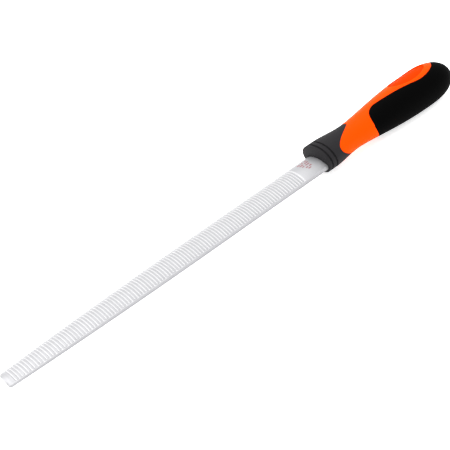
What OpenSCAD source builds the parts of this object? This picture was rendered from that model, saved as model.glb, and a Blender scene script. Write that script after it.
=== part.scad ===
// Half-round wood rasp with a two-component handle.
// The blade lies flat side down, points along +X, and its tang is pressed into the handle.
// The origin is the centre of the uncut heel on the blade's flat side.

/* [Blade] */
// Length of the blade from the tip to the front of the handle
blade_l = 250; // [200:1:300]
// Width of the blade where its edges run parallel
blade_w = 23.2; // [18:0.1:28]
// Thickness of the blade at the heel
blade_t = 5.6; // [5.4:0.1:8]
// Thickness of the blade's edges at the heel
edge_t = 2.4; // [1:0.1:3]
// Width of the blade at the tip
tip_w = 16.4; // [10:0.1:18]
// Thickness of the blade at the tip
tip_t = 3.8; // [3.4:0.1:5.4]
// Thickness of the edges at the tip
tip_edge_t = 1.7; // [0.5:0.1:2]
// Length of the tapered stretch behind the tip
taper_l = 145; // [80:1:190]
// Radius of the rounded corners of the tip, in plan
tip_corner = 2; // [0.4:0.1:2]

/* [Teeth] */
// Distance from one row of teeth to the next, along the blade
row_pitch = 2.15; // [1.8:0.05:4]
// Depth of the cut between two rows
row_depth = 0.55; // [0.2:0.05:0.8]
// Slant of the last rows away from square across the blade, in degrees, +Y ends further back
row_slant = -3; // [-5:0.5:16]
// Slant of the first rows, next to the tip
tip_slant = 3; // [0:0.5:3]
// Smooth length in front of the first row
tip_plain = 2.8; // [2.8:0.1:15]
// Smooth length between the last row and the handle
heel_l = 18; // [14:0.5:30]
// Smooth margin along both edges of the convex side
arc_margin = 0.3; // [0.1:0.1:3]
// Smooth margin along both edges of the flat side
flat_margin = 1.8; // [1:0.1:3]

/* [Tang] */
// Length of the tang inside the handle
tang_l = 62; // [40:1:75]
// Width of the tang where it leaves the shoulder
tang_w = 9.5; // [6:0.1:11]
// Thickness of the tang where it leaves the shoulder
tang_t = 4.2; // [3:0.1:4.4]
// Size of the tang's end as a part of its size at the shoulder
tang_taper = 0.55; // [0.3:0.05:0.9]
// Room round the tang in its socket
tang_fit = 0.1; // [0.05:0.05:0.3]
// Room round the heel of the blade in the collar
heel_fit = 0.15; // [0.1:0.05:0.5]

/* [Handle] */
// Length of the handle
handle_l = 124.5; // [110:0.5:150]
// Height of the handle's centre line above the flat side of the blade
handle_rise = 4.2; // [3:0.1:4.8]
// Width of the collar at the front of the handle beyond the blade's width
collar_margin = 6.8; // [5:0.2:10]
// Height of the collar
collar_h = 19.6; // [18:0.2:26]
// Width of the waist
waist_w = 23.6; // [21:0.2:28]
// Height of the waist
waist_h = 17.6; // [16:0.2:22]
// Distance of the waist behind the front face
waist_x = 30; // [26:0.5:38]
// Width of the palm swell
palm_w = 32.6; // [28:0.2:40]
// Height of the palm swell
palm_h = 27.6; // [24:0.2:34]
// Distance of the widest place behind the front face
palm_x = 95; // [84:0.5:100]
// How early the handle swells behind the waist: 1 is even, less is earlier
swell_start = 0.75; // [0.6:0.05:1.2]
// Squareness of the butt: 2 is an ellipse, more is squarer
butt_power = 2.7; // [2:0.1:4]

/* [Soft grips] */
// Thickness of the soft grips over the core
grip_t = 2.2; // [1.5:0.1:3]
// Thickness of the collar's front wall
front_wall = 3; // [2:0.1:4]
// Thickness of the rear grip at the butt
butt_wall = 3; // [2:0.1:4]
// Width of the seam groove between grip and core
seam_w = 0.35; // [0.2:0.05:0.8]
// Reach of the collar's upper lobe behind the front face
lobe_top = 32; // [24:0.5:36]
// Length of the collar at the sides
lobe_side = 12.8; // [10:0.2:18]
// Slimness of the upper lobe: 2 is a parabola, more is slimmer
lobe_power = 2.4; // [2:0.1:5]
// Reach of the collar's lower lobe behind the front face
lobe_bottom = 24; // [14:0.5:36]
// Distance of the rear grip's front edge behind the front face
rear_x = 44.6; // [40:0.2:50]
// How far that edge bows back towards the belly
rear_bow = 2.5; // [0:0.1:4]
// Distance of the first groove round the collar behind the front face
rim_groove_x = 2.2; // [1.6:0.1:3]
// Distance of the second groove behind the front face
back_groove_x = 6.2; // [5:0.1:8]
// Width of each groove
groove_w = 1.4; // [0.6:0.1:2]
// Depth of each groove
groove_d = 1.1; // [0.4:0.1:1.4]
// Rounding of the collar's front edge
rim_round = 0.6; // [0.3:0.1:0.9]

/* [Tongue] */
// How far the lobes and the tongue are turned round the handle towards -Y, in degrees
pattern_turn = 15; // [0:1:20]
// Half width of the orange tongue's neck
neck_r = 4.2; // [2:0.1:6]
// Distance of the neck behind the front face
neck_x = 58; // [54:0.5:64]
// Length of the tongue's wide oval
oval_l = 37; // [28:0.5:42]
// Width of the tongue's wide oval
oval_w = 23; // [16:0.2:25]
// Distance of the middle of the oval behind the front face
oval_x = 95; // [88:0.5:98]
// Rounding of the rear grip's front corners beside the tongue
corner_r = 11; // [5:0.5:12]
// Width of the plain rim between the oval's edge and its recess
recess_rim = 2.6; // [1.5:0.1:5]
// Depth of the recess in the tongue
recess_d = 0.9; // [0.4:0.1:1.4]

/* [Hidden] */

x_front = -heel_l / 2;             // front face of the handle
x_tip = x_front + blade_l;
shoulder_in = 0.3;                 // how much the section draws in on its way to the shoulder
x_square = x_front + 0.6 * heel_l; // where the heel's section lies square across again
rows = floor((blade_l - heel_l - tip_plain) / row_pitch);
steep = 0.2 * row_pitch;           // run of a tooth's steep front face
x_first = x_tip - tip_plain - (row_pitch - steep);  // bottom of the first cut
run_out = 0.5;                     // length over which a row runs out at its ends
arc_nodes = 7;                     // points across the rows on the convex side
sides = 36;                        // points round the handle
collar_w = blade_w + collar_margin;
recess_back = 3.5;                 // the recess lies this much nearer the front than the oval
over = 60;                         // reach of cutting bodies past the handle
end_flat = 0.05;                   // the butt ends in a flat this far short of its full length
front_step = 4;                    // distance between the sections from the collar to the waist
swell_steps = 11;                  // sections from the waist to the palm swell
butt_shares = [0.25, 0.45, 0.62, 0.75, 0.85, 0.92, 0.97, 0.995];  // sections behind the swell

// ---- blade ----

// 1 at the tip, falling to 0 where the edges become parallel
function taper(x) = pow(max(0, 1 - (x_tip - x) / taper_l), 2);
function half_w(x) = (blade_w - (blade_w - tip_w) * taper(x)) / 2;
function thick(x) = blade_t - (blade_t - tip_t) * taper(x);
function sag(x) = thick(x) - edge_t + (edge_t - tip_edge_t) * taper(x);
function radius(x) = (pow(half_w(x), 2) + pow(sag(x), 2)) / 2 / sag(x);
function corner_angle(x) = asin(half_w(x) / radius(x));
// Angle of a length of the convex side
function turn(x, length) = length / radius(x) * 180 / PI;
function row_angle(x) = corner_angle(x) - turn(x, arc_margin + run_out);

// Point of the convex side at angle a from the crown, cut by depth d
function crown_point(x, a, d) =
    let (r = radius(x))
    [x, (r - d) * sin(a), thick(x) - r + (r - d) * cos(a)];

// Backward run of a row for each mm towards +Y
function shear(x) = tan(row_slant - (row_slant - tip_slant) * (x - x_front) / blade_l);

// Place along the blade of a point that lies y to the side on a slanted ring
function slanted(x, y, k) = x - k * y;

// One closed ring round the blade, cut by depth d, slanted by k
function ring(x, d, k) =
    let (
        w = half_w(x),
        xl = slanted(x, -w, k),
        xr = slanted(x, w, k),
        n = arc_nodes - 1
    )
    concat(
        [crown_point(xl, -corner_angle(xl), 0)],
        [crown_point(xl, -row_angle(xl) - turn(xl, run_out), 0)],
        [for (i = [0:n])
            let (
                a = row_angle(x) * (2 * i / n - 1),
                xs = slanted(x, radius(x) * sin(a), k)
            )
            crown_point(xs, row_angle(xs) * (2 * i / n - 1), d)],
        [crown_point(xr, row_angle(xr) + turn(xr, run_out), 0)],
        [crown_point(xr, corner_angle(xr), 0)],
        [[xr, half_w(xr), 0]],
        [[xr, half_w(xr) - flat_margin, 0]],
        [[xr, half_w(xr) - flat_margin - run_out, d]],
        [[xl, -half_w(xl) + flat_margin + run_out, d]],
        [[xl, -half_w(xl) + flat_margin, 0]],
        [[xl, -half_w(xl), 0]]
    );

// The heel's ring moved to x and drawn down to width w and thickness t
function drawn_ring(x, w, t) =
    [for (p = ring(x_front, 0, 0))
        [x, p[1] * w / blade_w, blade_t / 2 + (p[2] - blade_t / 2) * t / blade_t]];

// A ring of the blade made narrower by inset at both sides
function narrowed(r, inset) = [for (p = r) [p[0], p[1] * (1 - inset / half_w(p[0])), p[2]]];

// Mean of the points of a ring
function middle(r) = [for (p = r) 1] * r / len(r);

// Skin through a list of rings, each with the same number of points, closed by a fan at each end
module skin(rings) {
    n = len(rings[0]);
    last = len(rings) - 1;
    front = n * len(rings);
    back = front + 1;
    points = concat([for (r = rings) each r], [middle(rings[0]), middle(rings[last])]);
    walls = [for (i = [0:last - 1], j = [0:n - 1])
        let (a = i * n + j, b = i * n + (j + 1) % n)
        each [[a, a + n, b], [b, a + n, b + n]]];
    fans = [for (j = [0:n - 1])
        let (k = (j + 1) % n)
        each [[j, k, front], [last * n + k, last * n + j, back]]];
    polyhedron(points, concat(walls, fans));
}

module rasp_blade() {
    x_shoulder = x_front - front_wall;
    // the slanted rings fade to square ones in the plain stretches
    tip_rings = [for (a = [90, 45, 0])
        narrowed(ring(x_tip - tip_corner * (1 - sin(a)), 0, 0), tip_corner * (1 - cos(a)))];
    first_ring = ring(x_tip - tip_plain, 0, shear(x_tip));
    row_rings = [for (i = [0:rows - 1], top = [0, 1])
        let (x = x_first - i * row_pitch - top * steep)
        ring(x, top ? 0 : row_depth, shear(x))];
    heel_rings = [
        ring(x_square, 0, 0),
        ring(x_front + shoulder_in, 0, 0),
        drawn_ring(x_shoulder, blade_w - 2 * shoulder_in, blade_t - 2 * shoulder_in)
    ];
    color("gainsboro")
        skin(concat(
            tip_rings,
            [first_ring],
            row_rings,
            heel_rings,
            [drawn_ring(x_shoulder, tang_w, tang_t)],
            [drawn_ring(x_shoulder - tang_l, tang_taper * tang_w, tang_taper * tang_t)]
        ));
}

// ---- handle ----
// Inside these modules x runs from the front face towards the butt.

module in_handle() {
    translate([x_front, 0, handle_rise]) mirror([1, 0, 0]) children();
}

function ease(a, b, t) = a + (b - a) * (1 - cos(180 * t)) / 2;

// Full width or height of the handle at x
function girth(x, collar, waist, palm) =
    x < back_groove_x ? collar :
    x < waist_x ? ease(collar, waist, (x - back_groove_x) / (waist_x - back_groove_x)) :
    x < palm_x ? ease(waist, palm, pow((x - waist_x) / (palm_x - waist_x), swell_start)) :
    palm * sqrt(max(0, 1 - pow((x - palm_x) / (handle_l - palm_x), butt_power)));

// Oval ring round the handle at x, smaller all round by inset
function oval(x, inset) =
    let (
        w = girth(x, collar_w, waist_w, palm_w) - 2 * inset,
        h = girth(x, collar_h, waist_h, palm_h) - 2 * inset
    )
    [for (i = [0:sides - 1]) let (a = i * 360 / sides) [x, w / 2 * cos(a), h / 2 * sin(a)]];

// The handle's solid from x = from to x = to, smaller all round by inset
module handle_body(inset, from, to) {
    butt = handle_l - palm_x;
    stations = concat(
        [rim_round, back_groove_x],
        [for (x = [back_groove_x + front_step:front_step:waist_x]) x],
        [for (i = [1:swell_steps]) waist_x + i * (palm_x - waist_x) / swell_steps],
        [for (t = butt_shares) palm_x + t * butt]
    );
    inner = [for (x = stations) if (x > from && x < to) x];
    cuts = concat([from], inner, [to]);
    for (i = [0:len(cuts) - 2])
        hull()
            skin([oval(cuts[i], inset + (cuts[i] == 0 ? rim_round : 0)), oval(cuts[i + 1], inset)]);
}

module outer_body() {
    handle_body(0, 0, handle_l - end_flat);
}

module inner_body() {
    handle_body(grip_t, front_wall, handle_l - butt_wall);
}

// Rear edge of the collar at height v, where v = 1 is the top and v = -1 the bottom
function collar_edge(v) =
    lobe_side + (v > 0 ? (lobe_top - lobe_side) * pow(v, lobe_power) : (lobe_bottom - lobe_side) * v * v);

// Room that the collar takes, its rear edge moved back by grow
module collar_room(grow) {
    steps = 24;
    edge = [for (i = [0:steps]) let (v = 1 - 2 * i / steps) [collar_edge(v) + grow, v * waist_h / 2]];
    rotate([90 + pattern_turn, 0, 0])
        linear_extrude(2 * over, center = true)
            polygon(concat(
                [[-over, over], [edge[0][0], over]],
                edge,
                [[edge[steps][0], -over], [-over, -over]]
            ));
}

// Oval tongue with its neck, in plan
module tongue_plan() {
    hull() {
        translate([oval_x, 0]) scale([oval_l / oval_w, 1]) circle(d = oval_w, $fn = 48);
        translate([neck_x, 0]) circle(neck_r, $fn = 24);
    }
    translate([0, -neck_r]) square([neck_x, 2 * neck_r]);
}

// Room that the rear grip takes, grown by grow at its edges
module rear_room(grow) {
    steps = 16;
    edge = [for (i = [0:steps]) let (v = 1 - 2 * i / steps) [rear_x - grow + rear_bow * v * v, v * waist_h / 2]];
    rotate([pattern_turn, 0, 0])
        intersection() {
            rotate([90, 0, 0])
                linear_extrude(2 * over, center = true)
                    polygon(concat(
                        [[handle_l + over, over], [edge[0][0], over]],
                        edge,
                        [[edge[steps][0], -over], [handle_l + over, -over]]
                    ));
            union() {
                linear_extrude(over)
                    offset(r = corner_r + grow, $fn = 64)
                        offset(delta = -corner_r)
                            difference() {
                                translate([rear_x, -over]) square([handle_l, 2 * over]);
                                tongue_plan();
                            }
                translate([0, -over, -over]) cube([2 * handle_l, 2 * over, over]);
            }
        }
}

// Section of the blade's heel, grown by grow
module heel_section(grow) {
    offset(delta = grow)
        polygon([for (p = ring(x_front, 0, 0)) [p[1], p[2] - handle_rise]]);
}

module tang_socket() {
    z_mid = blade_t / 2 - handle_rise;
    module mouth(x, s) {
        translate([x, 0, z_mid])
            cube([0.01, s * tang_w + 2 * tang_fit, s * tang_t + 2 * tang_fit], center = true);
    }
    hull() {
        mouth(front_wall, 1);
        mouth(front_wall + tang_l, tang_taper);
    }
}

// Band between the handle's surface and depth d below it, inside the children
module surface_band(d) {
    difference() {
        children();
        handle_body(d, 0, handle_l - end_flat);
    }
}

module handle_core() {
    color("darkorange")
        in_handle()
            difference() {
                union() {
                    inner_body();
                    difference() {
                        outer_body();
                        collar_room(seam_w);
                        rear_room(seam_w);
                    }
                }
                tang_socket();
                surface_band(recess_d)
                    rotate([pattern_turn, 0, 0])
                        translate([oval_x - recess_back, 0, 0])
                            linear_extrude(over)
                                scale([(oval_l / 2 - recess_rim) / (oval_w / 2 - recess_rim), 1])
                                    circle(oval_w / 2 - recess_rim, $fn = 48);
            }
}

module front_collar() {
    color("dimgray")
        in_handle()
            difference() {
                intersection() {
                    outer_body();
                    collar_room(0);
                }
                inner_body();
                for (x = [rim_groove_x, back_groove_x])
                    surface_band(groove_d)
                        translate([x - groove_w / 2, -over, -over]) cube([groove_w, 2 * over, 2 * over]);
                translate([-1, 0, 0])
                    rotate([90, 0, 90])
                        linear_extrude(front_wall + 2)
                            heel_section(heel_fit);
            }
}

module rear_grip() {
    color("black")
        in_handle()
            difference() {
                intersection() {
                    outer_body();
                    rear_room(0);
                }
                inner_body();
            }
}

rasp_blade();
handle_core();
front_collar();
rear_grip();
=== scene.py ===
import math
import random

import bmesh
import bpy
from mathutils import Matrix, Vector


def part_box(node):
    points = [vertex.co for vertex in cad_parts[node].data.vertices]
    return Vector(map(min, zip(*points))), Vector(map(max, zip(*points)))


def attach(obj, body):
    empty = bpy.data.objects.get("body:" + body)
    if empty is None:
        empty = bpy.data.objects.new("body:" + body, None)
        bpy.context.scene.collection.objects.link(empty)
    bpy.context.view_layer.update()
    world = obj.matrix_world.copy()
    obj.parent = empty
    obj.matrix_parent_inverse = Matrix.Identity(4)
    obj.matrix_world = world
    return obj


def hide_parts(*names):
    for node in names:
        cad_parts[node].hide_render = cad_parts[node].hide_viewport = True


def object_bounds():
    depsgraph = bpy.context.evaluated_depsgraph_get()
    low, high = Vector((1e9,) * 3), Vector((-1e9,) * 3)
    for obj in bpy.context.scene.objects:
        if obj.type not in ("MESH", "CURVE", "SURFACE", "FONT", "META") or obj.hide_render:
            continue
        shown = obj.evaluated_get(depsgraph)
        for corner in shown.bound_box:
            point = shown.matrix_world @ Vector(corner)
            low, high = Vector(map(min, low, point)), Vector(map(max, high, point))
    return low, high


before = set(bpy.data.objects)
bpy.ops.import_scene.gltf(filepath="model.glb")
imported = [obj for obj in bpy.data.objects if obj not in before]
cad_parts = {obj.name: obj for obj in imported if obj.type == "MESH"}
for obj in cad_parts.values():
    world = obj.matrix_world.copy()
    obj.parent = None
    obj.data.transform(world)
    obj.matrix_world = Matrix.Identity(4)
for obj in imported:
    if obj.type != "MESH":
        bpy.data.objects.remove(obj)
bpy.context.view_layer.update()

# ---- Blade ------------------------------------------------------------------------------------
# One forging of hardened tool steel: a half-round blade with a tang that is pressed into the
# handle. The rows of teeth are cut one by one across the convex and the flat side, and each row
# is broken into single teeth that stand half a tooth off those of the next row.

MM = 0.001
blade_low, blade_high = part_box("rasp_blade")
front_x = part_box("front_collar")[1].x       # front face of the handle
tip_x = blade_high.x
blade_w = blade_high.y - blade_low.y
blade_t = blade_high.z - blade_low.z
EDGE_T, TIP_EDGE_T = 2.4 * MM, 1.7 * MM     # thickness of the edges at the heel and at the tip
TIP_W, TIP_T = 16.4 * MM, 3.8 * MM          # width and thickness at the tip
TAPER_L = 145 * MM                          # length of the tapered stretch
TIP_CORNER = 2 * MM                         # radius of the tip's corners, in plan
CORNER_SHARES = (0, 0.3, 0.65, 1)           # rings round those corners, as shares of the radius
PITCH = 2.15 * MM                           # from one row to the next
CUT = 0.55 * MM                             # depth of a gullet
STEEP = 0.2 * PITCH                         # run of a tooth's steep front
CREST_L, CREST_DROP = 0.12 * PITCH, 0.1     # length of a crest, and its fall as a share of the cut
BACK_L, BACK_CUT = 0.72 * PITCH, 0.8        # where a tooth's back bends, and its depth there
NOTCHES = (0.35, 0.06, 0, 0.06)             # depths across one tooth, as shares of the cut
TOOTH_STEPS = len(NOTCHES)                  # mesh steps across one tooth
ARC_STEPS, FLAT_STEPS = 13 * TOOTH_STEPS, 11 * TOOTH_STEPS    # 13 teeth a row, 11 on the flat side
SHALLOWEST = 0.92                           # depth of the shallowest row, as a share of the cut
ROW_PLAY, TOOTH_PLAY = 0.03 * MM, 0.12      # how uneven the rows' places and the teeth's heights are
SLANT, TIP_SLANT = -3, 3                    # degrees; above 0 the +Y ends of the rows lie further back
TIP_PLAIN, HEEL_L = 2.8 * MM, 18 * MM       # smooth lengths in front of the rows and behind them
SQUARE_L = 0.6 * HEEL_L                     # how far before the handle the slant has faded out
ARC_MARGIN, FLAT_MARGIN = 0.3 * MM, 1.8 * MM    # smooth bands beside the rows, crown and flat
RUN_OUT = 0.5 * MM                          # length over which a row runs out at its ends
SHOULDER_IN = 0.3 * MM                      # how much the section draws in before the shoulder
FRONT_WALL = 3 * MM                         # the shoulder sits this deep in the handle
TANG_W, TANG_T, TANG_END = 9.5 * MM, 4.2 * MM, 0.55    # size at the shoulder, and share at the end
GROUND, GULLET_SHADE, EDGE_SHADE, ARRIS_SHADOW = 0.5, 0.7, 0.9, 1.0       # painted shade: gullets, edges, darkest at the lower arris; a crest is 0
CRISP = 28                                  # degrees; sharper edges of the blade stay crisp

row_count = int((tip_x - front_x - HEEL_L - TIP_PLAIN) / PITCH)
first_cut = tip_x - TIP_PLAIN - (PITCH - STEEP)
chance = random.Random(7)


def taper(x):
    return max(0.0, 1 - (tip_x - x) / TAPER_L) ** 2


def half_width(x):
    return (blade_w - (blade_w - TIP_W) * taper(x)) / 2


def thickness(x):
    return blade_t - (blade_t - TIP_T) * taper(x)


def arc_radius(x):
    sag = thickness(x) - EDGE_T + (EDGE_T - TIP_EDGE_T) * taper(x)
    return (half_width(x) ** 2 + sag ** 2) / 2 / sag


def corner_angle(x):
    return math.asin(half_width(x) / arc_radius(x))


def row_angle(x, beyond=0.0):
    """Half of the angle that the rows cover, or a little more."""
    return corner_angle(x) - (ARC_MARGIN + RUN_OUT - beyond) / arc_radius(x)


def crown_point(x, angle, depth):
    r = arc_radius(x)
    return Vector((x, (r - depth) * math.sin(angle), thickness(x) - r + (r - depth) * math.cos(angle)))


def plain(i):
    return 0.0


def blade_ring(x, depths, slant, narrow=0.0):
    """Places and shades of the points round the blade at x; depths(i) is how deep point i is cut."""
    places, shades = [], []

    def put(place, depth=None, shade=GROUND):
        places.append(place)
        # painted shade: a point in a gullet is painted darker the deeper it lies
        shades.append(shade if depth is None or depths is plain else GULLET_SHADE * depth / CUT)

    left, right = x - slant * half_width(x), x + slant * half_width(x)
    # painted shade on the edge faces, darkest at the lower arris as a painted contact shadow
    put(crown_point(left, -corner_angle(left), 0), shade=EDGE_SHADE)
    put(crown_point(left, -row_angle(left, RUN_OUT), 0))
    for i in range(ARC_STEPS + 1):
        share = 2 * i / ARC_STEPS - 1
        along = x + slant * arc_radius(x) * math.sin(row_angle(x) * share)
        depth = depths(i)
        put(crown_point(along, row_angle(along) * share, depth), depth)
    put(crown_point(right, row_angle(right, RUN_OUT), 0))
    put(crown_point(right, corner_angle(right), 0), shade=EDGE_SHADE)
    put(Vector((right, half_width(right), 0)), shade=ARRIS_SHADOW)
    put(Vector((right, half_width(right) - FLAT_MARGIN, 0)))
    for i in range(FLAT_STEPS + 1):
        share = 1 - 2 * i / FLAT_STEPS
        reach = half_width(x) - FLAT_MARGIN - RUN_OUT
        along = x + slant * reach * share
        depth = depths(i + TOOTH_STEPS // 2)
        put(Vector((along, (half_width(along) - FLAT_MARGIN - RUN_OUT) * share, depth)), depth)
    put(Vector((left, -half_width(left) + FLAT_MARGIN, 0)))
    put(Vector((left, -half_width(left), 0)), shade=ARRIS_SHADOW)
    for place in places:
        place.y *= 1 - narrow / half_width(x)
    return places, shades


def shear(x):
    """How far a row at x runs along the blade for each metre towards +Y."""
    slant = SLANT - (SLANT - TIP_SLANT) * (x - front_x) / (tip_x - front_x)
    return -math.tan(math.radians(slant))


def drawn_ring(x, width, thick):
    """The heel's ring moved to x and drawn down to this width and thickness."""
    places, shades = blade_ring(front_x, plain, 0)
    for place in places:
        place.x = x
        place.y *= width / blade_w
        place.z = blade_t / 2 + (place.z - blade_t / 2) * thick / blade_t
    return places, shades


def blade_rings():
    """Every ring of the blade from the tip back to the end of the tang."""
    for share in CORNER_SHARES:
        narrow = TIP_CORNER * (1 - math.sqrt(1 - (1 - share) ** 2))
        yield blade_ring(tip_x - TIP_CORNER * share, plain, 0, narrow)
    yield blade_ring(tip_x - TIP_PLAIN, plain, shear(tip_x))
    for row in range(row_count):
        cut = CUT * chance.uniform(SHALLOWEST, 1.0)
        x = first_cut - row * PITCH + chance.uniform(-ROW_PLAY, ROW_PLAY)
        heights = [chance.uniform(0, TOOTH_PLAY) for _ in range(ARC_STEPS + FLAT_STEPS)]

        def crest(i, row=row, cut=cut, heights=heights):
            step = (i + row % 2 * TOOTH_STEPS // 2) % TOOTH_STEPS
            return cut * min(1, NOTCHES[step] + heights[i // TOOTH_STEPS])

        def crest_end(i, cut=cut, crest=crest):
            return min(cut, crest(i) + CREST_DROP * cut)

        k = shear(x)
        yield blade_ring(x, lambda i, cut=cut: cut, k)
        yield blade_ring(x - STEEP, crest, k)
        yield blade_ring(x - STEEP - CREST_L, crest_end, k)
        if row < row_count - 1:
            yield blade_ring(x - BACK_L, lambda i, cut=cut: BACK_CUT * cut, k)
    last = first_cut - (row_count - 1) * PITCH - STEEP - PITCH / 2
    yield blade_ring(last, plain, shear(last))
    yield blade_ring(front_x + SQUARE_L, plain, 0)
    yield blade_ring(front_x + SHOULDER_IN, plain, 0)
    shoulder = front_x - FRONT_WALL
    yield drawn_ring(shoulder, blade_w - 2 * SHOULDER_IN, blade_t - 2 * SHOULDER_IN)
    yield drawn_ring(shoulder, TANG_W, TANG_T)
    yield drawn_ring(blade_low.x, TANG_END * TANG_W, TANG_END * TANG_T)


def new_piece(name, bm):
    """Turns a finished bmesh into an object of the scene."""
    mesh = bpy.data.meshes.new(name)
    bm.to_mesh(mesh)
    bm.free()
    piece = bpy.data.objects.new(name, mesh)
    bpy.context.scene.collection.objects.link(piece)
    return piece


def soften(piece, degrees):
    """Smooth shading, with edges sharper than this left crisp."""
    piece.data.shade_smooth()
    piece.data.set_sharp_from_angle(angle=math.radians(degrees))


def draw_out(bm, edges, numbers):
    """Extrudes a closed run of edges; gives the new edges, and the new points with their numbers."""
    made = bmesh.ops.extrude_edge_only(bm, edges=edges)["geom"]
    verts = [g for g in made if isinstance(g, bmesh.types.BMVert)]
    ring = set(verts)
    new_edges = [g for g in made if isinstance(g, bmesh.types.BMEdge) and set(g.verts) <= ring]
    new_numbers = {v: numbers[e.other_vert(v)] for v in verts for e in v.link_edges
                   if e.other_vert(v) in numbers}
    return new_edges, new_numbers


def loft(bm, rings):
    """Closed skin through rings of points, all with the same count, filled at both ends. Gives
    each ring's points with their numbers."""
    verts = bmesh.ops.create_circle(bm, segments=len(rings[0]), radius=1)["verts"]
    edges = list(bm.edges)
    numbers = {v: i for i, v in enumerate(verts)}
    laid = []
    for places in rings:
        if laid:
            edges, numbers = draw_out(bm, edges, numbers)
        for v, i in numbers.items():
            v.co = places[i]
        laid.append(numbers)
    open_edges = [e for e in bm.edges if len(e.link_faces) == 1]
    bmesh.ops.holes_fill(bm, edges=open_edges, sides=0)
    bmesh.ops.recalc_face_normals(bm, faces=bm.faces)
    return laid


def cut_blade():
    """The blade's skin, with the painted shade of the steel at each point in its layer "cut"."""
    rings = list(blade_rings())
    bm = bmesh.new()
    painted_shade_layer = bm.verts.layers.float.new("cut")
    laid = loft(bm, [places for places, _ in rings])
    for numbers, (_, shades) in zip(laid, rings):
        for v, i in numbers.items():
            v[painted_shade_layer] = shades[i]
    return bm


def colour(code):
    """Linear colour of an sRGB hex code."""
    parts = [int(code[i:i + 2], 16) / 255 for i in (1, 3, 5)]
    return [c / 12.92 if c <= 0.04045 else ((c + 0.055) / 1.055) ** 2.4 for c in parts] + [1.0]


def new_material(name):
    material = bpy.data.materials.new(name)
    material.use_nodes = True
    return material, material.node_tree.nodes["Principled BSDF"]


def add(material, kind, settings=None, links=None, **attributes):
    """Adds a node, sets its sockets and attributes, and links (socket: other socket) into it."""
    node = material.node_tree.nodes.new(kind)
    for key, value in attributes.items():
        setattr(node, key, value)
    for key, value in (settings or {}).items():
        node.inputs[key].default_value = value
    for key, source in (links or {}).items():
        material.node_tree.links.new(source, node.inputs[key])
    return node


def ground_steel():
    # Hardened tool steel, ground bright, with shade painted into its colour: the gullets are painted
    # darker than the crests, the edge faces darker again, and the lower arris of both edges darkest,
    # as a painted contact shadow. The plain heel is a little darker than the crests. The grinding
    # lines run across; they are finer than 0.1 mm, and are drawn 0.4 mm apart and 8 mm long so that
    # they show.
    material, shader = new_material("ground tool steel")
    wire = material.node_tree.links.new
    place = add(material, "ShaderNodeTexCoord").outputs["Object"]
    cut = add(material, "ShaderNodeAttribute", attribute_name="cut").outputs["Fac"]
    painted_shade_ramp = add(material, "ShaderNodeValToRGB", links={"Fac": cut})
    painted_shade_ramp.color_ramp.elements[0].color = colour("#DADADB")
    painted_shade_ramp.color_ramp.elements[1].color = colour("#929294")
    for shade, code in ((GROUND, "#ABABAD"), (GULLET_SHADE, "#BCBCBE"), (EDGE_SHADE, "#A2A2A4")):
        painted_shade_ramp.color_ramp.elements.new(shade).color = colour(code)
    wire(painted_shade_ramp.outputs["Color"], shader.inputs["Base Color"])
    lines = add(material, "ShaderNodeMapping", {"Scale": (2600, 120, 120)}, {"Vector": place})
    grain = add(material, "ShaderNodeTexNoise", {"Scale": 1.0, "Detail": 3.0},
                {"Vector": lines.outputs["Vector"]})
    dull = add(material, "ShaderNodeMapRange", {"To Min": 0.52, "To Max": 0.64},
               {"Value": grain.outputs["Fac"]})
    wire(dull.outputs["Result"], shader.inputs["Roughness"])
    bump = add(material, "ShaderNodeBump", {"Strength": 0.12, "Distance": 0.02 * MM},
               {"Height": grain.outputs["Fac"]})
    wire(bump.outputs["Normal"], shader.inputs["Normal"])
    shader.inputs["Metallic"].default_value = 1.0
    return material


blade = new_piece("blade", cut_blade())
soften(blade, CRISP)
blade.data.materials.append(ground_steel())
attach(blade, "root")
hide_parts("rasp_blade")

# ---- Mark -------------------------------------------------------------------------------------
# A maker etches its mark into the smooth heel with acid, which leaves it dull red-brown. Here it
# is a few plain lines of dashes without any meaning.

MARK_RISE = 0.02 * MM       # it lies this far above the steel, so that it shows
# each dash: from and to along the blade in mm, from and to round its crown in degrees
DASHES = ((4.2, 1.8, -14, -10), (1.0, -1.0, -14, -10), (-1.8, -4.0, -14, -10),
          (3.8, 0.6, -7, -3.5), (-0.4, -3.6, -7, -3.5),
          (3.4, 1.6, -0.5, 2.5), (0.6, -2.8, -0.5, 2.5),
          (2.2, 0.4, 6, 9), (-0.6, -2.6, 6, 9), (1.6, -0.8, 11, 13.5))


def etch_mark():
    bm = bmesh.new()
    for x_from, x_to, start, end in DASHES:
        made = bmesh.ops.create_grid(bm, x_segments=1, y_segments=4, size=1.0)["verts"]
        for v in made:
            at = x_from + (x_to - x_from) * (v.co.x + 1) / 2
            angle = math.radians(start + (end - start) * (v.co.y + 1) / 2)
            v.co = crown_point(at * MM, angle, -MARK_RISE)
    bmesh.ops.recalc_face_normals(bm, faces=bm.faces)
    return bm


def etched_steel():
    # Acid-etched steel: matt, with a thin red-brown oxide.
    material, shader = new_material("etched steel")
    shader.inputs["Base Color"].default_value = colour("#8C6468")
    shader.inputs["Roughness"].default_value = 0.8
    return material


mark = new_piece("mark", etch_mark())
mark.data.materials.append(etched_steel())
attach(mark, "root")

# ---- Orange core ------------------------------------------------------------------------------
# The hard half of the handle, one shot of orange polypropylene moulded round the tang's socket.
# It shows as a band round the waist and as a long tongue on top with a shallow oval recess; the
# two soft parts are moulded over the rest of it.

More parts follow.
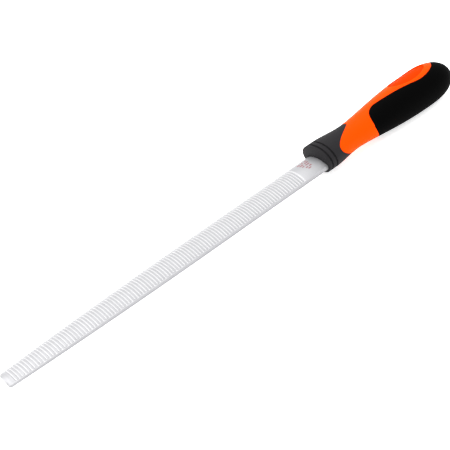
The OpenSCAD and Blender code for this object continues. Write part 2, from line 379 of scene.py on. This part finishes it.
HANDLE_L = front_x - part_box("rear_grip")[0].x
END_FLAT = 0.05 * MM                        # the butt ends in a flat this far short of its full length
RISE = 4.2 * MM                             # centre line of the handle above the blade's flat
COLLAR = (blade_w + 6.8 * MM, 19.6 * MM)    # width and height
WAIST = (23.6 * MM, 17.6 * MM)
PALM = (32.6 * MM, 27.6 * MM)
BACK_GROOVE_X = 6.2 * MM                    # all places are measured behind the front face
WAIST_X, PALM_X = 30 * MM, 95 * MM
SWELL_START, BUTT_POWER = 0.75, 2.7         # how early the handle swells, and how square its butt is
GRIP_T = 2.2 * MM                           # thickness of both soft parts over the core
SEAM = 0.35 * MM                            # width of the groove between hard and soft
TURN = math.radians(15)                     # the lobes and the tongue are turned towards -Y
SIDES = 96                                  # points round the handle
SHORTEST = 0.02 * MM                        # shorter steps and edges are left out
SWELL_STEPS, BUTT_STEPS = 60, 28            # sections up to the palm swell and behind it
REACH = 60 * MM                             # half size of the cutting bodies
SHARP, SMOOTH = 40, 35                      # degrees; from here on edges are rounded, or left crisp


def ease(a, b, share):
    return a + (b - a) * (1 - math.cos(math.pi * share)) / 2


def girth(x, size):
    """Full width (size 0) or height (size 1) of the handle at x behind its front face."""
    if x < BACK_GROOVE_X:
        return COLLAR[size]
    if x < WAIST_X:
        return ease(COLLAR[size], WAIST[size], (x - BACK_GROOVE_X) / (WAIST_X - BACK_GROOVE_X))
    if x < PALM_X:
        return ease(WAIST[size], PALM[size], ((x - WAIST_X) / (PALM_X - WAIST_X)) ** SWELL_START)
    return PALM[size] * math.sqrt(max(0, 1 - ((x - PALM_X) / (HANDLE_L - PALM_X)) ** BUTT_POWER))


def handle_stations(start, end):
    """Places along the handle from start to end, closer together where it curves most."""
    even = [start + (min(end, PALM_X) - start) * i / SWELL_STEPS for i in range(SWELL_STEPS + 1)]
    butt = [PALM_X + (HANDLE_L - PALM_X) * math.sin(math.pi / 2 * i / BUTT_STEPS)
            for i in range(1, BUTT_STEPS)]
    return even + [x for x in butt if x < end - SHORTEST] + [end]


def oval_ring(x, less):
    """Points round the handle at x, drawn in by less."""
    half_w, half_h = girth(x, 0) / 2 - less, girth(x, 1) / 2 - less
    return [Vector((front_x - x, half_w * math.sin(a), RISE + half_h * math.cos(a)))
            for a in (2 * math.pi * i / SIDES for i in range(SIDES))]


def solid(rings):
    """A new bmesh with the closed skin through these rings."""
    bm = bmesh.new()
    loft(bm, rings)
    return bm


def body(inset, start, end):
    """The handle's solid from start to end, smaller all round by inset."""
    return solid([oval_ring(x, inset) for x in handle_stations(start, end)])


def prism(outline, axis, near, far):
    """Solid over a closed outline (x, and y or z), drawn along y or z and turned round the handle
    with its colour pattern."""
    rings = []
    for depth in (near, far):
        if axis == "y":
            rings.append([Vector((front_x - x, depth, RISE + z)) for x, z in outline])
        else:
            rings.append([Vector((front_x - x, y, RISE + depth)) for x, y in outline])
    bm = solid(rings)
    bmesh.ops.rotate(bm, verts=bm.verts, cent=(0, 0, RISE), matrix=Matrix.Rotation(TURN, 3, "X"))
    return bm


def carve(piece, cutter, action="DIFFERENCE"):
    """Cuts a solid off a piece for good, or keeps only what both share, or joins the two."""
    tool = cutter if isinstance(cutter, bpy.types.Object) else new_piece("cutter", cutter)
    change = piece.modifiers.new("carve", "BOOLEAN")
    change.operation, change.solver, change.object = action, "EXACT", tool
    bake(piece)
    bpy.data.objects.remove(tool)


def bake(piece):
    """Turns a piece's modifiers into its mesh."""
    bpy.context.view_layer.update()
    done = bpy.data.meshes.new_from_object(piece.evaluated_get(bpy.context.evaluated_depsgraph_get()))
    piece.modifiers.clear()
    piece.data = done


def finish_edges(piece, width):
    """Rounds the sharp edges of a moulding by this width, gives the rounded faces the piece's
    second material, and shades the rest smoothly."""
    bm = bmesh.new()
    bm.from_mesh(piece.data)
    bmesh.ops.remove_doubles(bm, verts=bm.verts, dist=SHORTEST)
    sharp = [e for e in bm.edges
             if len(e.link_faces) == 2 and e.calc_face_angle() > math.radians(SHARP)]
    made = bmesh.ops.bevel(bm, geom=sharp, offset=width, segments=3, profile=0.5, affect="EDGES",
                           material=-1, clamp_overlap=True)
    for face in made["faces"]:
        face.material_index = 1
    bm.to_mesh(piece.data)
    bm.free()
    soften(piece, SMOOTH)


COLLAR_EDGE = (12.8 * MM, 32 * MM, 24 * MM)     # its length at the sides, on top and below
LOBE_POWER = 2.4                                # slimness of the upper lobe; 2 is a parabola
REAR_X, REAR_BOW = 44.6 * MM, 2.5 * MM          # front edge of the rear grip, and its bow
NECK_X, NECK_R = 58 * MM, 4.2 * MM              # the tongue's neck, and half of its width
OVAL_X, OVAL_A, OVAL_B = 95 * MM, 18.5 * MM, 11.5 * MM    # the tongue's oval and its half axes
CORNER_R = 11 * MM                              # rounding of the rear grip's front corners
BUTT_WALL = 3 * MM                              # thickness of the rear grip at the butt
EDGE_STEPS, BOW_STEPS = 60, 40                  # steps along the collar's and the rear grip's edge
NECK_STEPS, OVAL_STEPS, CORNER_STEPS = 24, 60, 16
NECK_SLACK = 0.1 * MM                           # the tongue's side starts this far before the neck


def side_view(edge, open_end):
    """Solid over a room seen from the side, bounded by an edge and open towards one end."""
    top = [(open_end, REACH), (edge[0][0], REACH)]
    bottom = [(edge[-1][0], -REACH), (open_end, -REACH)]
    return prism(top + edge + bottom, "y", -REACH, REACH)


def collar_room(grow):
    """Room of the collar: two lobes that run back over the top and under the belly."""
    side, top, bottom = COLLAR_EDGE
    edge = []
    for v in (1 - 2 * i / EDGE_STEPS for i in range(EDGE_STEPS + 1)):
        reach = (top - side) * v ** LOBE_POWER if v > 0 else (bottom - side) * v * v
        edge.append((side + reach + grow, v * WAIST[1] / 2))
    return side_view(edge, -REACH)


def half_oval(x, a, b, steps):
    """Half of an oval round x with these half axes, from its front to its back."""
    return [(x + a * math.cos(t), b * math.sin(t))
            for t in (math.pi * (1 - i / steps) for i in range(steps + 1))]


def stretched_over(points):
    """The line that a string takes when it is stretched over these points from front to back."""
    line = []
    for p in sorted(points):
        while len(line) > 1 and ((line[-1][0] - line[-2][0]) * (p[1] - line[-2][1])
                                 >= (line[-1][1] - line[-2][1]) * (p[0] - line[-2][0])):
            line.pop()
        line.append(p)
    return line


def tongue_side(grow):
    """Half outline of the rear grip's rounded corner and of the tongue, drawn in by grow."""
    side = [(REAR_X + CORNER_R * (1 - math.cos(a)), NECK_R + CORNER_R * (1 - math.sin(a)))
            for a in (math.pi / 2 * i / CORNER_STEPS for i in range(CORNER_STEPS + 1))]
    tongue = stretched_over(half_oval(NECK_X, NECK_R, NECK_R, NECK_STEPS)
                            + half_oval(OVAL_X, OVAL_A, OVAL_B, OVAL_STEPS))
    side += [p for p in tongue if p[0] > NECK_X - NECK_SLACK]
    moved = []
    for i, (x, y) in enumerate(side):
        before, after = side[max(i - 1, 0)], side[min(i + 1, len(side) - 1)]
        along = Vector((after[0] - before[0], after[1] - before[1])).normalized()
        moved.append((x + grow * along.y, y - grow * along.x))
    return moved


def rear_room(grow):
    """Room of the rear grip: behind its bowed front edge, and beside the tongue on top."""
    edge = [(REAR_X - grow + REAR_BOW * v * v, v * WAIST[1] / 2)
            for v in (1 - 2 * i / BOW_STEPS for i in range(BOW_STEPS + 1))]
    room = new_piece("rear room", side_view(edge, HANDLE_L + REACH))
    side = tongue_side(grow)
    side = [(0, REACH), (side[0][0], REACH)] + side
    plan = side + [(x, -y) for x, y in reversed(side[:-1])]
    carve(room, prism(plan, "z", 0, REACH))
    return room


RECESS_X, RECESS_A, RECESS_B = 91.5 * MM, 15.9 * MM, 8.9 * MM    # the recess and its half axes
RECESS_D, RECESS_STEPS = 0.9 * MM, 72
RECESS_FLOOR = 0.96         # the floor of the recess ends this near its rim, in squared shares
FACES_UP = 0.2              # least rise of the normals of that floor
TANG_FIT = 0.1 * MM         # room round the tang
ORANGE_ROUND = 0.5 * MM     # width of the rounded edges of the orange


def recess():
    """Room of the shallow oval recess in the tongue."""
    plan = [(RECESS_X + RECESS_A * math.cos(a), RECESS_B * math.sin(a))
            for a in (2 * math.pi * i / RECESS_STEPS for i in range(RECESS_STEPS))]
    room = new_piece("recess", prism(plan, "z", 0, REACH))
    carve(room, body(RECESS_D, 0, HANDLE_L - END_FLAT))
    return room


def socket():
    """Room of the tang in the core."""
    rings = []
    for x, size in ((FRONT_WALL, 1), (front_x - blade_low.x, TANG_END)):
        half_w, half_t = size * TANG_W / 2 + TANG_FIT, size * TANG_T / 2 + TANG_FIT
        rings.append([Vector((front_x - x, sy * half_w, blade_t / 2 + sz * half_t))
                      for sy, sz in ((1, 1), (-1, 1), (-1, -1), (1, -1))])
    return solid(rings)


def eroded_floor_with_painted_shade(polygon):
    """Whether a face of the core lies on the floor of its recess."""
    x, y = front_x - polygon.center.x - RECESS_X, polygon.center.y
    across = y * math.cos(TURN) + (polygon.center.z - RISE) * math.sin(TURN)
    inside = (x / RECESS_A) ** 2 + (across / RECESS_B) ** 2 < RECESS_FLOOR
    return inside and polygon.normal.z > FACES_UP


def orange_polypropylene(name, code, roughness, sheen):
    # Injection-moulded polypropylene, dyed through: half gloss with a faint ripple 1.4 mm long
    # where the mould is polished, and matt in the eroded recess, whose floor is also painted darker
    # as painted shade. The rounded edges are glossier and painted brighter, as a painted highlight.
    material, shader = new_material(name)
    shader.inputs["Base Color"].default_value = colour(code)
    shader.inputs["Roughness"].default_value = roughness
    shader.inputs["Specular IOR Level"].default_value = sheen
    shader.inputs["IOR"].default_value = 1.49
    place = add(material, "ShaderNodeTexCoord").outputs["Object"]
    ripple = add(material, "ShaderNodeTexNoise", {"Scale": 700.0, "Detail": 2.0}, {"Vector": place})
    bump = add(material, "ShaderNodeBump", {"Strength": 0.15, "Distance": 0.02 * MM},
               {"Height": ripple.outputs["Fac"]})
    material.node_tree.links.new(bump.outputs["Normal"], shader.inputs["Normal"])
    return material


core = new_piece("core", body(0, 0, HANDLE_L - END_FLAT))
carve(core, collar_room(SEAM))
carve(core, rear_room(SEAM))
carve(core, recess())
carve(core, body(GRIP_T, FRONT_WALL, HANDLE_L - BUTT_WALL), "UNION")
carve(core, socket())
finish_edges(core, ORANGE_ROUND)
# painted shade: the faces on the recess floor get the darker orange
for polygon in core.data.polygons:
    if eroded_floor_with_painted_shade(polygon):
        polygon.material_index = 2
# the second finish is a painted highlight on the rounded edges, the third painted shade on the recess
# floor
for finish in (orange_polypropylene("orange polypropylene", "#F24B00", 0.42, 0.04),
               orange_polypropylene("orange polypropylene, glossy edge with painted highlight", "#FF8030", 0.25, 0.3),
               orange_polypropylene("orange polypropylene, eroded, with painted shade", "#C43C00", 0.6, 0.02)):
    core.data.materials.append(finish)
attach(core, "root")
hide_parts("handle_core")

# ---- Front collar -----------------------------------------------------------------------------
# Soft black elastomer moulded over the front of the core. It has a rounded rim, two grooves
# all round, a mouth that fits the blade's heel, and two lobes that run back over the core.

RIM_ROUND, RIM_STEPS = 0.6 * MM, 4
GROOVES = (2.2 * MM, BACK_GROOVE_X)
GROOVE_W, GROOVE_D, GROOVE_STEPS = 1.4 * MM, 1.1 * MM, 6
GROOVE_POWER = 4                            # flatness of a groove's bottom; 2 is a parabola
RIDGES = (1.2 * MM, 4.2 * MM)               # sections on the two ridges in front
BEHIND, BEHIND_STEPS = 8 * MM, 30           # first section behind the grooves, and how many follow
HEEL_FIT = 0.15 * MM                        # room round the blade's heel
MOUTH_AHEAD, MOUTH_BEHIND = 1 * MM, 0.2 * MM    # how far the mouth's cutter passes the front wall
BLACK_ROUND = 0.25 * MM                     # width of the rounded edges of the black


def drawn_in(x):
    """How far the collar's surface is drawn in at x by its rounded rim or by a groove."""
    for middle in GROOVES:
        across = abs(x - middle) / (GROOVE_W / 2)
        if across < 1:
            return GROOVE_D * (1 - across ** GROOVE_POWER)
    if x < RIM_ROUND:
        return RIM_ROUND - math.sqrt(RIM_ROUND ** 2 - (RIM_ROUND - x) ** 2)
    return 0.0


def collar_body():
    """The collar's outside from the front face back, with its rim and grooves."""
    places = {RIM_ROUND * (1 - math.cos(math.pi / 2 * i / RIM_STEPS)) for i in range(RIM_STEPS + 1)}
    for middle in GROOVES:
        places |= {middle + GROOVE_W / 2 * i / GROOVE_STEPS
                   for i in range(-GROOVE_STEPS, GROOVE_STEPS + 1)}
    places |= set(RIDGES) | {BEHIND + 1 * MM * i for i in range(BEHIND_STEPS)}
    return solid([oval_ring(x, drawn_in(x)) for x in sorted(places)])


def mouth():
    """Room of the blade's heel in the collar's front wall."""
    section = blade_ring(front_x, plain, 0)[0]
    wide, tall = 1 + HEEL_FIT / half_width(front_x), 1 + 2 * HEEL_FIT / blade_t
    return solid([[Vector((x, p.y * wide, blade_t / 2 + (p.z - blade_t / 2) * tall))
                   for p in section]
                  for x in (front_x + MOUTH_AHEAD, front_x - FRONT_WALL - MOUTH_BEHIND)])


def soft_elastomer(name, code, sheen):
    # Matt thermoplastic elastomer. The spark-eroded mould leaves a grain of about 0.05 mm, which
    # is too fine to show and is drawn at 0.4 mm.
    material, shader = new_material(name)
    shader.inputs["Base Color"].default_value = colour(code)
    shader.inputs["Roughness"].default_value = 0.7
    shader.inputs["Specular IOR Level"].default_value = sheen
    shader.inputs["IOR"].default_value = 1.5
    place = add(material, "ShaderNodeTexCoord").outputs["Object"]
    grain = add(material, "ShaderNodeTexNoise", {"Scale": 2600.0, "Detail": 3.0}, {"Vector": place})
    bump = add(material, "ShaderNodeBump", {"Strength": 0.5, "Distance": 0.12 * MM},
               {"Height": grain.outputs["Fac"]})
    material.node_tree.links.new(bump.outputs["Normal"], shader.inputs["Normal"])
    return material


collar = new_piece("collar", collar_body())
carve(collar, collar_room(0), "INTERSECT")
carve(collar, body(GRIP_T, FRONT_WALL, HANDLE_L - BUTT_WALL))
carve(collar, mouth())
finish_edges(collar, BLACK_ROUND)
# painted light: the collar's black is painted lighter than the grip's, where the key light falls on
# it; its rounded edges are painted darker, as painted shade
for finish in (soft_elastomer("soft black elastomer", "#232224", 0.2),
               soft_elastomer("soft black elastomer, painted shade on the edge", "#0E0D0E", 0.1)):
    collar.data.materials.append(finish)
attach(collar, "root")
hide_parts("front_collar")

# ---- Rear grip --------------------------------------------------------------------------------
# The same elastomer moulded round the palm swell and the butt. It leaves the tongue of the core
# free on top and meets it in a narrow groove.

grip = new_piece("grip", body(0, WAIST_X, HANDLE_L - END_FLAT))
carve(grip, rear_room(0), "INTERSECT")
carve(grip, body(GRIP_T, FRONT_WALL, HANDLE_L - BUTT_WALL))
finish_edges(grip, BLACK_ROUND)
# painted shade: the grip's black is painted darker than the collar's, and its edges darker again
for finish in (soft_elastomer("soft black elastomer of the grip", "#040404", 0.04),
               soft_elastomer("soft black elastomer of the grip, painted shade on the edge", "#030303", 0.04)):
    grip.data.materials.append(finish)
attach(grip, "root")
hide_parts("rear_grip")

# ---- Studio -----------------------------------------------------------------------------------
# A white sweep of paper under the rasp, lit so that its shadow all but vanishes, a broad soft
# light above, and a short telephoto lens that looks down on the blade from beyond its tip.

FLOOR_SIZE = 6.0                            # half of its side, in metres
PAPER_GLOW, ROOM_LIGHT = 0.5, 1.25          # strength of the lit paper and of the white room
KEY = ((0.2, -0.3, 1.0), 1.6, 1.6, 16)      # direction, distance and size in metres, watts
MIDDLE = Vector((50, 0, 0)) * MM            # what the light faces
LENS, SENSOR = 84.0, 36.0                   # millimetres on the camera
AIM = Vector((70.5, -1.1, 2.2)) * MM        # where the camera looks
DISTANCE = 679.1 * MM                       # from there to the camera
AZIMUTH, ELEVATION, ROLL = 66.4, 30.8, -22.2    # degrees; its direction from there, and its tilt

low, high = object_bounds()
floor_mesh = bmesh.new()
bmesh.ops.create_grid(floor_mesh, x_segments=1, y_segments=1, size=FLOOR_SIZE)
bmesh.ops.translate(floor_mesh, verts=floor_mesh.verts, vec=(0, 0, low.z))
floor = new_piece("floor", floor_mesh)
# Matt white paper, lit evenly, so that no more than a trace of the shadow is left on it.
paper, paper_shader = new_material("white paper")
paper_shader.inputs["Base Color"].default_value = colour("#FAFAFA")
paper_shader.inputs["Roughness"].default_value = 0.9
paper_shader.inputs["Emission Color"].default_value = (1, 1, 1, 1)
paper_shader.inputs["Emission Strength"].default_value = PAPER_GLOW
floor.data.materials.append(paper)

world = bpy.data.worlds.new("studio")
bpy.context.scene.world = world
world.use_nodes = True
world.node_tree.nodes["Background"].inputs["Color"].default_value = (1, 1, 1, 1)
world.node_tree.nodes["Background"].inputs["Strength"].default_value = ROOM_LIGHT
bpy.context.scene.view_settings.view_transform = "Standard"
bpy.context.scene.view_settings.look = "Medium High Contrast"


def soft_light(name, direction, distance, size, watts):
    """A square soft box that faces the middle of the rasp from this direction."""
    light = bpy.data.lights.new(name, "AREA")
    light.size = size
    light.energy = watts
    box = bpy.data.objects.new(name, light)
    away = Vector(direction).normalized()
    box.location = MIDDLE + away * distance
    box.rotation_euler = away.to_track_quat("Z", "Y").to_euler()
    bpy.context.scene.collection.objects.link(box)


soft_light("key", *KEY)

camera_data = bpy.data.cameras.new("camera")
camera_data.lens = LENS
camera_data.sensor_width = SENSOR
camera_data.clip_start = 0.01
camera = bpy.data.objects.new("camera", camera_data)
bpy.context.scene.collection.objects.link(camera)
azimuth, elevation = math.radians(AZIMUTH), math.radians(ELEVATION)
away = Vector((math.cos(elevation) * math.cos(azimuth),
               math.cos(elevation) * math.sin(azimuth), math.sin(elevation)))
turn = away.to_track_quat("Z", "Y").to_matrix().to_4x4() @ Matrix.Rotation(math.radians(ROLL), 4, "Z")
camera.matrix_world = Matrix.Translation(AIM + away * DISTANCE) @ turn
bpy.context.scene.camera = camera
